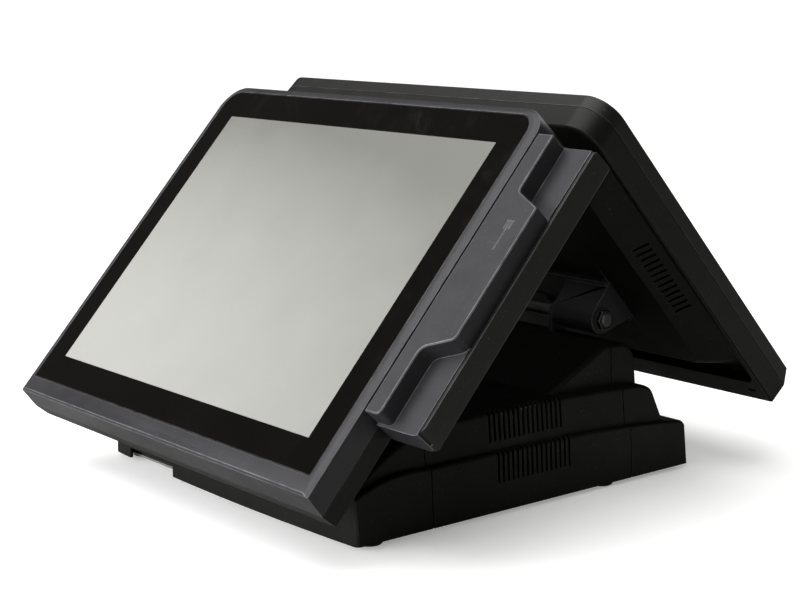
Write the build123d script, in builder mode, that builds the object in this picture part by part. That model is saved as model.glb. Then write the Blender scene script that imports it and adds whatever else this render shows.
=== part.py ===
from build123d import *
from math import cos, sin, radians
import os

# Point-of-sale touchscreen terminal: a stepped base that carries two displays back to back, the
# operator's with a card reader on its side, and the customer's facing the other way. Millimetres, +Z up.
# The origin is the centre of the fixing holes in the underside of the base plate. +X is the operator's
# right, -Y is towards the operator.

# ---------------------------------------------------------------- driving dimensions
WALL = 2.5  # moulded housing wall
SEAM = 0.3  # the line between a display's front and back mouldings
BASE_SEAM = 0.9  # the line between two covers of the base

# both displays
DISPLAY_W = 361.0
HALF_W = DISPLAY_W / 2
ACTIVE_W, ACTIVE_H = 304.1, 228.1  # fifteen inch, four to three
CORNER_R = 21.0
RIM_RUN, RIM_FALL, RIM_BEVEL = 4.4, 2.0, 1.4  # the rim falls away outside the glass, broken at its foot
GLASS_T, GLASS_HALF_W, GLASS_GAP = 3.0, 173.6, 0.4
WINDOW_MARGIN = 4.0  # the frame's window is this much larger than the lit area
CHASSIS_T, CHASSIS_HALF_W = 1.2, 170.0
PANEL_HALF_W, PANEL_MARGIN = 162.5, 9.0

# operator display, heights up the screen from the bottom of the active area, depths behind the glass
FRONT_TILT = 41.7
FRONT_FOOT = (-163.6, 79.4)  # y and z of the bottom of the active area
FRONT_TOP, FRONT_CHIN, FRONT_RIDGE, FRONT_BASE = 258.0, -22.4, -34.8, -38.3
FRONT_SEAM, FRONT_BACK, FRONT_HUMP = 19.5, 33.5, 52.0

# customer display, the same measures from the bottom edge of its face
REAR_TILT = 43.3
REAR_FOOT = (261.0, 69.6)
REAR_TOP, REAR_BASE = 287.5, -9.0
REAR_GLASS_LOW, REAR_GLASS_HIGH = 13.0, 281.0
REAR_SEAM, REAR_BACK, REAR_HUMP = 12.2, 30.5, 40.0
REAR_TROUGH = 8.5

# back covers
HUMP_SLOPE, HUMP_WALL = 20.0, 2.0  # how far the hump's sides lean in, and their wall
COVER_LAND, COVER_BEVEL = 4.5, 1.2
SLOPE_VENT_LOW, SLOPE_VENT_PITCH, SLOPE_VENTS = 98.0, 5.6, 13
LATCH_X, LATCH_HEIGHT = 168.0, 4.5

# base
BASE_W, BASE_TOP_W = 299.4, 294.0
TIER_W, TIER_TOP_W = 284.0, 276.0
NECK_W, NECK_TOP_W = 255.0, 252.0
TIER_Z, DECK_Z, NECK_Z = 40.2, 66.8, 94.2
BASE_FRONT, BASE_REAR, FRONT_BOW = -124.4, 186.0, 5.3
FRONT_SEAM_Y, REAR_SEAM_Y = -61.0, 127.0
PLATE_T = 1.5
FOOT_R, FOOT_H, FOOT_X, FOOT_Y = 9.0, 3.0, 138.0, 106.0
FIXING_PITCH, FIXING_R = 100.0, 2.25

# hinges
FRONT_AXIS = (-50.0, 85.0)
REAR_AXIS = (136.0, 109.0)
SHAFT_R, BORE_R, LUG_R, EAR_R = 5.0, 5.06, 11.0, 8.0
EAR_X = 62.0  # middle of each four millimetre ear
LUG_IN, LUG_OUT = 66.0, 108.0
ARM_SCREW_X = (-48, -26, 26, 48)

# card reader, in the operator display's measures
READER_X0, NARROW_X, WIDE_X = 183.8, 197.5, 220.6
SLOT_W, LIP_T = 1.6, 2.4
LIP_X0 = WIDE_X + SLOT_W
LIP_X1 = LIP_X0 + LIP_T
READER_CORNER_R = 9.0
READER_LOW, READER_HIGH = 25.5, 238.5
WIDE_LOW, WIDE_HIGH = 84.0, 190.0
SHELF_D, READER_BACK = 14.0, 33.5

os.makedirs("parts", exist_ok=True)


def display_plane(foot, tilt, facing):
    """The plane of a display's glass: x across, y up the screen, z out of it. facing is -1 or +1 along Y."""
    normal = (0, facing * cos(radians(tilt)), sin(radians(tilt)))
    return Plane(origin=(0, foot[0], foot[1]), x_dir=(-facing, 0, 0), z_dir=normal)


FRONT = display_plane(FRONT_FOOT, FRONT_TILT, -1)
REAR = display_plane(REAR_FOOT, REAR_TILT, 1)


def behind(plane, depth):
    """The plane this far behind a display's glass."""
    return plane.offset(-depth)


def save(builder, name):
    builder.part.label = name
    export_step(builder.part, f"parts/{name}.step")


def panel_sketch(plane, depth, half_w, low, high, top_r=0.0, low_r=0.0):
    """A rectangle across a display, with its top and bottom corners rounded."""
    with BuildSketch(behind(plane, depth)) as sketch:
        with Locations((0, (low + high) / 2)):
            Rectangle(2 * half_w, high - low)
        if top_r > 0:
            fillet(sketch.vertices().group_by(Axis.Y)[-1], top_r)
        if low_r > 0:
            fillet(sketch.vertices().group_by(Axis.Y)[0], low_r)
    return sketch.sketch


def drive(sketch, plane, amount, mode=Mode.ADD):
    """Extrude a sketch along a display's normal, away from the glass when amount is negative."""
    extrude(sketch, amount=amount, dir=plane.z_dir, mode=mode)


# ---------------------------------------------------------------- display housings
def display_mass(plane, foot_profile, depth, half_w, top, corner_r):
    """The solid block of a display: a rounded face drawn back, with its bottom wall cut to foot_profile.

    foot_profile lists (height, depth) points of the bottom wall from front to back.
    """
    low = min(height for height, _ in foot_profile)
    cutter_plane = Plane(origin=plane.origin, x_dir=plane.y_dir, z_dir=plane.x_dir)
    start = foot_profile[0][1]
    with BuildPart() as mass:
        drive(panel_sketch(plane, start, half_w, low - 1, top, corner_r), plane, -depth)
        with BuildSketch(cutter_plane):
            with BuildLine():
                Polyline(
                    (low - 20, -start + 5),
                    (foot_profile[0][0], -start + 5),
                    *[(height, -back) for height, back in foot_profile],
                    (foot_profile[-1][0], -start - depth - 5),
                    (low - 20, -start - depth - 5),
                    close=True,
                )
            make_face()
        extrude(amount=2 * half_w, both=True, mode=Mode.SUBTRACT)
    return mass


def bezel_housing(plane, foot_profile, top, glass_low, glass_high, window_low, name):
    """The front frame of a display: rim, recess for the glass, window for the panel and a hollow back."""
    depth = foot_profile[-1][1]
    inner_low = foot_profile[-1][0] + WALL + 3.5
    window_high = window_low + ACTIVE_H
    mass = display_mass(plane, foot_profile, depth, HALF_W, top, CORNER_R)
    recess = panel_sketch(plane, 0, GLASS_HALF_W, glass_low, glass_high, CORNER_R - 7, 1.0)
    window = panel_sketch(
        plane, 0, ACTIVE_W / 2 + WINDOW_MARGIN, window_low - WINDOW_MARGIN, window_high + WINDOW_MARGIN, 2, 2
    )
    hollow = panel_sketch(
        plane, GLASS_T + WALL, HALF_W - WALL, inner_low, top - WALL, CORNER_R - WALL, 1
    )
    with BuildPart() as housing:
        add(mass.part)
        out = Axis(plane.origin, plane.z_dir)
        rim = housing.faces().sort_by(out)[-1]
        outline = rim.edges().sort_by(Axis(plane.origin, plane.y_dir))
        chamfer(outline[1:], RIM_RUN, RIM_FALL, reference=rim)
        foot = housing.faces().sort_by(out)[-1].edges().sort_by(Axis(plane.origin, plane.y_dir))[0]
        chamfer(foot, RIM_BEVEL)
        drive(recess, plane, -GLASS_T, mode=Mode.SUBTRACT)
        drive(window, plane, -depth, mode=Mode.SUBTRACT)
        drive(hollow, plane, -depth, mode=Mode.SUBTRACT)
    save(housing, name)


def hump_block(plane, start, depth, low, high, half_w, slope, foot_run):
    """A raised block with sloping sides on a display's back. start and depth run away from the glass."""
    with BuildPart() as hump:
        add(panel_sketch(plane, start, half_w, low, high, 8, 8))
        add(panel_sketch(plane, start + depth, half_w - slope, low + foot_run, high - slope, 6, 6))
        loft()
    return hump


def rear_cover(plane, foot_profile, top, hump, hump_back, channel=0.0):
    """The back shell of a display: a tray with a hump, whose extent is low, high and half width.

    channel is the depth of the trough that runs round the hump.
    """
    hump_low, hump_high, hump_half_w = hump
    seam, back = foot_profile[0][1] + SEAM, foot_profile[-1][1]
    profile = [(foot_profile[0][0], seam), foot_profile[-1]]
    mass = display_mass(plane, profile, back - seam, HALF_W, top, CORNER_R)
    floor_back = back - channel
    rise = hump_back - floor_back
    outer = hump_block(plane, floor_back - 1, rise + 1, hump_low, hump_high, hump_half_w, HUMP_SLOPE, HUMP_SLOPE)
    inner = hump_block(
        plane,
        floor_back - WALL - 1,
        rise + 1,
        hump_low + HUMP_WALL,
        hump_high - HUMP_WALL,
        hump_half_w - HUMP_WALL,
        HUMP_SLOPE,
        HUMP_SLOPE,
    )
    trough = panel_sketch(
        plane, floor_back, HALF_W - COVER_LAND, hump_low - 8, top - 6, CORNER_R - 5, 8
    )
    inner_low = foot_profile[-1][0] + WALL + 1
    hollow = panel_sketch(plane, seam, HALF_W - WALL, inner_low, top - WALL, CORNER_R - WALL, 1)
    with BuildPart() as cover:
        add(mass.part)
        rim = cover.faces().sort_by(Axis(plane.origin, plane.z_dir))[0]
        chamfer(rim.edges(), COVER_BEVEL)
        if channel > 0:
            drive(trough, plane, -channel - 5, mode=Mode.SUBTRACT)
        drive(hollow, plane, -(floor_back - WALL - seam), mode=Mode.SUBTRACT)
        add(outer.part)
        add(inner.part, mode=Mode.SUBTRACT)
    return cover


FRONT_WALL = [(FRONT_RIDGE, 0.0), (FRONT_BASE, FRONT_SEAM)]
FRONT_WALL_BACK = [(FRONT_BASE, FRONT_SEAM), (FRONT_BASE + 0.8, FRONT_BACK)]
REAR_WALL = [(0.0, 0.0), (REAR_BASE, REAR_SEAM)]
REAR_WALL_BACK = [(REAR_BASE, REAR_SEAM), (REAR_BASE + 1.2, REAR_BACK)]

FRONT_GLASS_HIGH = 252.0
FRONT_HUMP_EXTENT = (30.0, 232.0, 150.0)
REAR_HUMP_EXTENT = (22.0, 242.0, 165.0)
REAR_WINDOW_LOW = 33.0

bezel_housing(FRONT, FRONT_WALL, FRONT_TOP, FRONT_CHIN, FRONT_GLASS_HIGH, 0.0, "operator_bezel_housing")
bezel_housing(
    REAR, REAR_WALL, REAR_TOP, REAR_GLASS_LOW, REAR_GLASS_HIGH, REAR_WINDOW_LOW, "customer_bezel_housing"
)

operator_rear_cover = rear_cover(FRONT, FRONT_WALL_BACK, FRONT_TOP, FRONT_HUMP_EXTENT, FRONT_HUMP)
save(operator_rear_cover, "operator_rear_cover")

customer_tray = rear_cover(REAR, REAR_WALL_BACK, REAR_TOP, REAR_HUMP_EXTENT, REAR_HUMP, REAR_TROUGH)
with BuildPart() as customer_rear_cover:
    add(customer_tray.part)
    for side in (-1, 1):
        for index in range(SLOPE_VENTS):
            height = SLOPE_VENT_LOW + SLOPE_VENT_PITCH * index
            with BuildSketch(behind(REAR, REAR_HUMP + 2)):
                with Locations((side * (REAR_HUMP_EXTENT[2] - HUMP_SLOPE / 2 - 1), height)):
                    Rectangle(9.5, 2.0)
            extrude(amount=REAR_HUMP - REAR_BACK + REAR_TROUGH - 1, mode=Mode.SUBTRACT)
        with BuildSketch(behind(REAR, REAR_BACK)):
            with Locations((side * LATCH_X, LATCH_HEIGHT)):
                SlotOverall(8.0, 3.0)
        extrude(amount=1.2, mode=Mode.SUBTRACT)
save(customer_rear_cover, "customer_rear_cover")


# ---------------------------------------------------------------- base housings
def tier_outline_low(inset, floor):
    """The side view of the lowest tier, whose top curves down to the front."""
    top, front, rear = TIER_Z - inset, BASE_FRONT - 10 + inset, BASE_REAR - inset
    shoulder = (rear - 4.5, top - 7.0)
    with BuildLine() as line:
        Line((-67, top), (60, top))
        ThreePointArc((60, top), (128, top - 2.4), shoulder)
        Polyline(shoulder, (rear - 1.6, top - 10.5), (rear, floor), (front, floor), (front, 26 - inset))
        ThreePointArc((front, 26 - inset), (-104, TIER_Z - 2.2 - inset), (-67, top))
    return line


def tier_outline_middle(inset, floor):
    """The side view of the middle tier: a long crowned deck, round at the front and sloping at the back."""
    crown = DECK_Z - inset
    with BuildLine() as line:
        ThreePointArc((-117 + inset, 36 - inset), (-82 + inset / 2, 57 - inset), (-37, crown - 1.2))
        ThreePointArc((-37, crown - 1.2), (30, crown), (139 - inset, crown - 2.6))
        ThreePointArc((139 - inset, crown - 2.6), (150.5 - inset, crown - 4.0), (156.5 - inset, 60 - inset))
        Polyline((156.5 - inset, 60 - inset), (167 - inset, 34), (167 - inset, floor))
        Polyline((167 - inset, floor), (-117 + inset, floor), (-117 + inset, 36 - inset))
    return line


def tier_outline_neck(inset, floor):
    """The side view of the neck, which climbs backwards to the hinge."""
    with BuildLine() as line:
        brow, nape = (141.0, NECK_Z - 0.7 - inset), (152.4 - inset, 80 - inset)
        Polyline((60 + inset, floor), (60 + inset, 64.5 - inset), (121.7, NECK_Z - inset), brow)
        ThreePointArc(brow, (148.4 - inset / 2, 88.8 - inset), nape)
        Polyline(nape, (153.8 - inset, floor), (60 + inset, floor))
    return line


def tier_block(outline, low_w, top_w, floor, top, inset=0.0, edge_r=0.0):
    """One tier: its side view drawn across the base, cut to sides that lean in slightly towards the top."""
    low, high = low_w / 2 - inset, top_w / 2 - inset
    with BuildPart() as tier:
        with BuildSketch(Plane.YZ):
            add(outline(inset, floor))
            make_face()
        extrude(amount=low + 5, both=True)
        with BuildSketch(Plane.XZ):
            with BuildLine():
                Polyline((-low, floor - 1), (low, floor - 1), (high, top + 1), (-high, top + 1), close=True)
            make_face()
        extrude(amount=300, both=True, mode=Mode.INTERSECT)
        if edge_r > 0:
            crest = [
                edge
                for edge in tier.edges()
                if abs(abs(edge.center().X) - high) < 4 and edge.center().Z > floor + 0.55 * (top - floor)
                and edge.bounding_box().size.Y > 4
            ]
            fillet(crest, edge_r)
    return tier


def plan_outline(inset, low, high):
    """The footprint of the lowest tier, its front bowed towards the operator."""
    half_w, front = BASE_W / 2 - inset, BASE_FRONT + inset
    with BuildPart() as plan:
        with BuildSketch(Plane.XY.offset(low)) as sketch:
            with BuildLine():
                ThreePointArc((-half_w, front), (0, front - FRONT_BOW), (half_w, front))
                Polyline((half_w, front), (half_w, 200), (-half_w, 200), (-half_w, front))
            make_face()
            fillet(sketch.vertices().group_by(Axis.Y)[0], 4.0)
        extrude(amount=high - low)
    return plan


def base_shell():
    """The whole stepped housing of the base, hollow and open underneath, before it is parted in three."""
    foot = tier_block(tier_outline_low, BASE_W, BASE_TOP_W, 0, TIER_Z, 0, 2.0)
    with BuildPart() as shell:
        add(foot.part)
        add(plan_outline(0, -1, 100).part, mode=Mode.INTERSECT)
        add(tier_block(tier_outline_middle, TIER_W, TIER_TOP_W, 30, DECK_Z, 0, 3.0).part)
        add(tier_block(tier_outline_neck, NECK_W, NECK_TOP_W, 60, NECK_Z, 0, 3.0).part)
    hollow = tier_block(tier_outline_low, BASE_W, BASE_TOP_W, -1, TIER_Z, WALL)
    with BuildPart() as hollows:
        add(hollow.part)
        add(plan_outline(WALL, -2, 100).part, mode=Mode.INTERSECT)
        add(tier_block(tier_outline_middle, TIER_W, TIER_TOP_W, 28, DECK_Z, WALL).part)
        add(tier_block(tier_outline_neck, NECK_W, NECK_TOP_W, 58, NECK_Z, WALL).part)
    with BuildPart() as skin:
        add(shell.part)
        add(hollows.part, mode=Mode.SUBTRACT)
    return skin.part


WHOLE_BASE = base_shell()


def block(x, y, z, mode=Mode.ADD):
    """A box from its low and high ends along each axis."""
    with Locations(((x[0] + x[1]) / 2, (y[0] + y[1]) / 2, (z[0] + z[1]) / 2)):
        Box(x[1] - x[0], y[1] - y[0], z[1] - z[0], mode=mode)


def block_pair(x, y, z, mode=Mode.ADD):
    """The same box on both sides of the middle."""
    block(x, y, z, mode)
    block((-x[1], -x[0]), y, z, mode)


def rod(x0, x1, y, z, radius, mode=Mode.ADD):
    """A round bar along X."""
    with BuildSketch(Plane(origin=(x0, y, z), x_dir=(0, 1, 0), z_dir=(1, 0, 0))) as section:
        Circle(radius)
    extrude(section.sketch, amount=x1 - x0, dir=(1, 0, 0), mode=mode)


def rod_pair(x0, x1, y, z, radius, mode=Mode.ADD):
    rod(x0, x1, y, z, radius, mode)
    rod(-x1, -x0, y, z, radius, mode)


BUTTON_Y, BUTTON_Z, BUTTON_R, BUTTON_TRAVEL = -92.0, 20.0, 6.0, 1.2
BUTTON_FACE_X = -149.6
SCREW_X, SCREW_YS, SCREW_R, BOSS_R, BOSS_TOP = 139.5, (-72.0, 121.0), 1.5, 4.5, 22.0
SCREW_SPOTS = [(side * SCREW_X, y) for side in (-1, 1) for y in SCREW_YS]


def screw_bosses(y):
    """The pair of bosses that one row of base screws bites into, each ribbed to its side wall."""
    z = (PLATE_T + 0.1, BOSS_TOP)
    with Locations(*[(side * SCREW_X, y, (z[0] + z[1]) / 2) for side in (-1, 1)]):
        Cylinder(BOSS_R, z[1] - z[0])
    block_pair((SCREW_X, SCREW_X + 8), (y - 1.5, y + 1.5), z)
    with Locations(*[(side * SCREW_X, y, 4) for side in (-1, 1)]):
        Cylinder(SCREW_R + 0.05, 10, mode=Mode.SUBTRACT)


with BuildPart() as base_front_cover:
    add(WHOLE_BASE)
    block((-200, 200), (-200, FRONT_SEAM_Y - BASE_SEAM / 2), (-10, 120), Mode.INTERSECT)
    block((-126, -62), (-140, -115), (-1, 8), Mode.SUBTRACT)
    rod(-155, -140, BUTTON_Y, BUTTON_Z, BUTTON_R + 0.35, Mode.SUBTRACT)
    screw_bosses(SCREW_YS[0])
save(base_front_cover, "base_front_cover")

VENT_START, VENT_PITCH, VENT_COUNT, VENT_W = -3.0, 4.45, 16, 2.0
with BuildPart() as base_middle_housing:
    add(WHOLE_BASE)
    screw_bosses(SCREW_YS[1])
    between_seams = (FRONT_SEAM_Y + BASE_SEAM / 2, REAR_SEAM_Y - BASE_SEAM / 2)
    block((-200, 200), between_seams, (-10, 120), Mode.INTERSECT)
    for slot in range(VENT_COUNT):
        y0 = VENT_START + VENT_PITCH * slot
        block_pair((143.2, 152), (y0, y0 + VENT_W), (19.5, TIER_Z + 1), Mode.SUBTRACT)
        block_pair((134.5, 143), (y0 - 1, y0 - 1 + VENT_W), (46, DECK_Z + 1), Mode.SUBTRACT)
    block_pair((58.5, 65.5), (FRONT_SEAM_Y, FRONT_AXIS[0] + EAR_R + 1.5), (50, 80), Mode.SUBTRACT)
    block_pair((58.5, 65.5), (REAR_AXIS[0] - EAR_R - 1.5, REAR_SEAM_Y + 1), (75, 120), Mode.SUBTRACT)
save(base_middle_housing, "base_middle_housing")

with BuildPart() as base_rear_cover:
    add(WHOLE_BASE)
    block((-200, 200), (REAR_SEAM_Y + BASE_SEAM / 2, 220), (-10, 120), Mode.INTERSECT)
    block_pair((58.5, 65.5), (REAR_SEAM_Y - 1, REAR_AXIS[0] + EAR_R + 1.5), (80, 120), Mode.SUBTRACT)
    block((-32, 32), (175, 195), (-1, 16), Mode.SUBTRACT)
save(base_rear_cover, "base_rear_cover")

# ---------------------------------------------------------------- base plate, feet and fixings
with BuildPart() as base_plate:
    block((-144, 144), (-118, 140), (0, PLATE_T))
    fillet(base_plate.edges().filter_by(Axis.Z), 5)
    with GridLocations(FIXING_PITCH, FIXING_PITCH, 2, 2):
        Cylinder(FIXING_R, 10, mode=Mode.SUBTRACT)
    with Locations(*[(x, y, 0) for x, y in SCREW_SPOTS]):
        Cylinder(SCREW_R + 0.2, 10, mode=Mode.SUBTRACT)
save(base_plate, "base_plate")

with BuildPart() as rubber_feet:
    with Locations(*[(x * FOOT_X, y * FOOT_Y, -FOOT_H / 2) for x in (-1, 1) for y in (-1, 1)]):
        Cylinder(FOOT_R, FOOT_H)
    chamfer(rubber_feet.faces().sort_by(Axis.Z)[0:4].edges(), 0.8)
save(rubber_feet, "rubber_feet")

with BuildPart() as base_screws:
    with Locations(*[(x, y, -0.8) for x, y in SCREW_SPOTS]):
        Cylinder(3.0, 1.6)
    with Locations(*[(x, y, 4) for x, y in SCREW_SPOTS]):
        Cylinder(SCREW_R, 8)
save(base_screws, "base_screws")

# ---------------------------------------------------------------- hinge frame, shafts and arms
with BuildPart() as hinge_frame:
    block_pair((44, 64), (-72, 148), (PLATE_T, PLATE_T + 3))
    for bar_y in (-70, 128):
        block((-60, 60), (bar_y, bar_y + 14), (PLATE_T, PLATE_T + 3))
    for axis_y, axis_z in (FRONT_AXIS, REAR_AXIS):
        block_pair((EAR_X - 2, EAR_X + 2), (axis_y - EAR_R, axis_y + EAR_R), (PLATE_T, axis_z))
        rod_pair(EAR_X - 2, EAR_X + 2, axis_y, axis_z, EAR_R)
        block_pair((44, 62), (axis_y - 1.5, axis_y + 1.5), (PLATE_T, 34))
    for axis_y, axis_z in (FRONT_AXIS, REAR_AXIS):
        rod(-80, 80, axis_y, axis_z, SHAFT_R, Mode.SUBTRACT)
    with GridLocations(FIXING_PITCH, FIXING_PITCH, 2, 2):
        Cylinder(2 * FIXING_R, 12, mode=Mode.SUBTRACT)
save(hinge_frame, "hinge_frame")

SHAFT_END, NUT_T = 113.5, 4.5


def hinge_pieces(axis, name):
    """The shaft, friction washers and torque nuts of one display's hinge."""
    y, z = axis
    with BuildPart() as shaft:
        rod(-SHAFT_END, SHAFT_END, y, z, SHAFT_R)
        chamfer(shaft.edges().filter_by(GeomType.CIRCLE), 0.8)
    save(shaft, f"{name}_hinge_shaft")
    with BuildPart() as washers:
        rod_pair(EAR_X + 2.05, LUG_IN - 0.1, y, z, 8.5)
        rod_pair(LUG_OUT + 0.15, LUG_OUT + 0.9, y, z, 8.0)
        rod(-120, 120, y, z, SHAFT_R, Mode.SUBTRACT)
    save(washers, f"{name}_friction_washers")
    with BuildPart() as nuts:
        for side in (-1, 1):
            start = side * (LUG_OUT + 0.95)
            with BuildSketch(Plane(origin=(start, y, z), x_dir=(0, 1, 0), z_dir=(side, 0, 0))):
                RegularPolygon(8.0, 6)
                Circle(SHAFT_R, mode=Mode.SUBTRACT)
            extrude(amount=NUT_T - 1)
    save(nuts, f"{name}_torque_nuts")


def hinge_arms(plane, axis, hump_back, low, high, name):
    """A display's bracket: a plate on the back of the hump, with a wedge-shaped lug on each side."""
    y, z = axis
    with BuildPart() as arms:
        drive(panel_sketch(plane, hump_back, LUG_OUT, low, high, 4, 4), plane, -4)
        for x0 in (LUG_IN, -LUG_OUT):
            side = Plane(origin=(x0, 0, 0), x_dir=(0, 1, 0), z_dir=(1, 0, 0))
            root = behind(plane, hump_back + 1)
            ends = [root.from_local_coords((0, height, 0)) for height in (low + 3, high - 3)]
            with BuildSketch(side) as wedge:
                with Locations((y, z)):
                    Circle(LUG_R)
                with BuildLine():
                    Polyline(*[(end.Y, end.Z) for end in ends], (y, z), close=True)
                make_face()
                make_hull()
            extrude(amount=LUG_OUT - LUG_IN)
        rod(-120, 120, y, z, BORE_R, Mode.SUBTRACT)
        for x in ARM_SCREW_X:
            with Locations(behind(plane, hump_back) * Location((x, low + 8, 0))):
                Cylinder(1.6, 16, mode=Mode.SUBTRACT)
    save(arms, f"{name}_hinge_arms")


FRONT_ARM, REAR_ARM = (60.0, 104.0), (88.0, 132.0)
hinge_pieces(FRONT_AXIS, "operator")
hinge_arms(FRONT, FRONT_AXIS, FRONT_HUMP, *FRONT_ARM, "operator")
hinge_pieces(REAR_AXIS, "customer")
hinge_arms(REAR, REAR_AXIS, REAR_HUMP, *REAR_ARM, "customer")


# ---------------------------------------------------------------- inside the displays
def sheet_part(plane, depth, thick, half_w, low, high, name, corner=2.0):
    with BuildPart() as part:
        drive(panel_sketch(plane, depth, half_w, low, high, corner, corner), plane, -thick)
    save(part, name)


def touch_glass(plane, low, high, name):
    with BuildPart() as glass:
        outline = panel_sketch(
            plane, 0.15, GLASS_HALF_W - GLASS_GAP, low + GLASS_GAP, high - GLASS_GAP, CORNER_R - 7.4, 0.8
        )
        drive(outline, plane, -(GLASS_T - 0.2))
    save(glass, name)


def panel_board(plane, depth, half_w, low, high, name):
    """A circuit board behind a display with its connectors and chips."""
    with BuildPart() as board:
        drive(panel_sketch(plane, depth, half_w, low, high, 2, 2), plane, -1.6)
        chips = ((-40, 12, 26, 6), (-5, 12, 22, 6), (30, 30, 16, 16), (-30, 34, 12, 12))
        for x, height, width, tall in chips:
            with BuildSketch(behind(plane, depth + 1.6)):
                with Locations((x, low + height)):
                    Rectangle(width, tall)
            extrude(amount=-1.8)
    save(board, name)


touch_glass(FRONT, FRONT_CHIN, FRONT_GLASS_HIGH, "operator_touch_glass")
touch_glass(REAR, REAR_GLASS_LOW, REAR_GLASS_HIGH, "customer_display_glass")
PANEL_DEPTH = GLASS_T + WALL + 0.2
for plane, window_low, thick, name in (
    (FRONT, 0.0, 9.0, "operator_lcd_panel"),
    (REAR, REAR_WINDOW_LOW, 5.8, "customer_lcd_panel"),
):
    low, high = window_low - PANEL_MARGIN, window_low + ACTIVE_H + PANEL_MARGIN
    sheet_part(plane, PANEL_DEPTH, thick, PANEL_HALF_W, low, high, name)
sheet_part(FRONT, 15.2, CHASSIS_T, CHASSIS_HALF_W, -20, 246, "operator_chassis_plate", 14)
sheet_part(REAR, 12.6, CHASSIS_T, CHASSIS_HALF_W, 16, 272, "customer_chassis_plate", 14)
panel_board(FRONT, 19.0, 62, 130, 186, "operator_touch_board")
panel_board(REAR, 15.0, 62, 150, 206, "customer_panel_board")


def cover_screws(plane, floor, spots, name):
    """The screws of a display's back cover, heads out, in the trough or the flat beside the hump."""
    with BuildPart() as screws:
        for x, height in spots:
            with BuildSketch(behind(plane, floor)):
                with Locations((x, height)):
                    Circle(2.8)
            extrude(amount=-1.4)
    save(screws, name)


operator_spots = [(side * 166, height) for side in (-1, 1) for height in (10, 120, 226)]
customer_spots = [(side * 170.5, height) for side in (-1, 1) for height in (40, 134, 226)]
cover_screws(FRONT, FRONT_BACK, operator_spots, "operator_cover_screws")
cover_screws(REAR, REAR_BACK - REAR_TROUGH, customer_spots, "customer_cover_screws")
cover_screws(
    FRONT, FRONT_HUMP + 4, [(x, FRONT_ARM[0] + 8) for x in ARM_SCREW_X], "operator_arm_screws"
)
cover_screws(REAR, REAR_HUMP + 4, [(x, REAR_ARM[0] + 8) for x in ARM_SCREW_X], "customer_arm_screws")


# ---------------------------------------------------------------- card reader
def reader_outline(inset, depth):
    """The raised block of the reader: narrow at both ends for the fingers, and wide in the middle."""
    x0, narrow, wide = READER_X0 + inset, NARROW_X - inset, WIDE_X - inset
    low, high = READER_LOW + 1.5 + inset, READER_HIGH - inset
    corners = [
        ((narrow, low), 4.0),
        ((narrow, WIDE_LOW - 8 + inset), 7.0),
        ((wide, WIDE_LOW + 2 + inset), 6.0),
        ((wide, WIDE_HIGH - 6 - inset), 2.0),
        ((narrow, WIDE_HIGH + 4 - inset), 5.0),
        ((narrow, high), 2.0),
    ]
    with BuildSketch(behind(FRONT, depth)) as outline:
        with BuildLine():
            Polyline((x0, low), *[point for point, _ in corners], (x0, high), close=True)
        make_face()
        for (x, height), radius in corners:
            corner = min(outline.vertices(), key=lambda v: (v.X - x) ** 2 + (v.Y - height) ** 2)
            fillet(corner, max(radius - inset / 2, 1.0))
    return outline.sketch


def reader_box(x, s, d, mode=Mode.ADD):
    """A box in the reader's own directions: across, up the screen and behind the glass."""
    with BuildSketch(behind(FRONT, d[0])) as section:
        with Locations(((x[0] + x[1]) / 2, (s[0] + s[1]) / 2)):
            Rectangle(x[1] - x[0], s[1] - s[0])
    drive(section.sketch, FRONT, d[0] - d[1], mode)


def reader_corner():
    """Rounds the reader's lower outer corner, the same through both of its housings."""
    with BuildSketch(behind(FRONT, SHELF_D - 4)) as waste:
        with Locations((LIP_X1 - READER_CORNER_R / 2 + 1, READER_LOW + READER_CORNER_R / 2 - 1)):
            Rectangle(READER_CORNER_R + 2, READER_CORNER_R + 2)
        with Locations((LIP_X1 - READER_CORNER_R, READER_LOW + READER_CORNER_R)):
            Circle(READER_CORNER_R, mode=Mode.SUBTRACT)
        with Locations((LIP_X1 - READER_CORNER_R - 5, READER_LOW + READER_CORNER_R + 5)):
            Rectangle(10, 60, mode=Mode.SUBTRACT)
            Rectangle(60, 10, mode=Mode.SUBTRACT)
    drive(waste.sketch, FRONT, -40, Mode.SUBTRACT)


HEAD_S, HEAD_D = 137.0, 20.5
SLAB_BACK = READER_BACK - 2.2
with BuildPart() as reader_inner_housing:
    drive(reader_outline(0, 0.2), FRONT, -(SHELF_D + 0.5))
    top_face = reader_inner_housing.faces().sort_by(Axis(FRONT.origin, FRONT.z_dir))[-1]
    chamfer(top_face.edges(), 0.7)
    reader_box((READER_X0, WIDE_X), (READER_LOW, READER_HIGH), (SHELF_D, SLAB_BACK))
    drive(reader_outline(2.2, 2.6), FRONT, -40, Mode.SUBTRACT)
    reader_box(
        (READER_X0 + 2.2, WIDE_X - 2.2),
        (READER_LOW + 2.2, READER_HIGH - 2.2),
        (SHELF_D + 2.2, 60),
        Mode.SUBTRACT,
    )
    reader_box((WIDE_X - 4, WIDE_X + 1), (HEAD_S - 7, HEAD_S + 7), (HEAD_D - 4, HEAD_D + 4), Mode.SUBTRACT)
    for low, high, across in ((150, 172, 206.6), (166, 172, 204.4), (166, 172, 208.8)):
        reader_box((across - 0.5, across + 0.5), (low, high), (0, 0.65), Mode.SUBTRACT)
    reader_corner()
save(reader_inner_housing, "reader_inner_housing")

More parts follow.
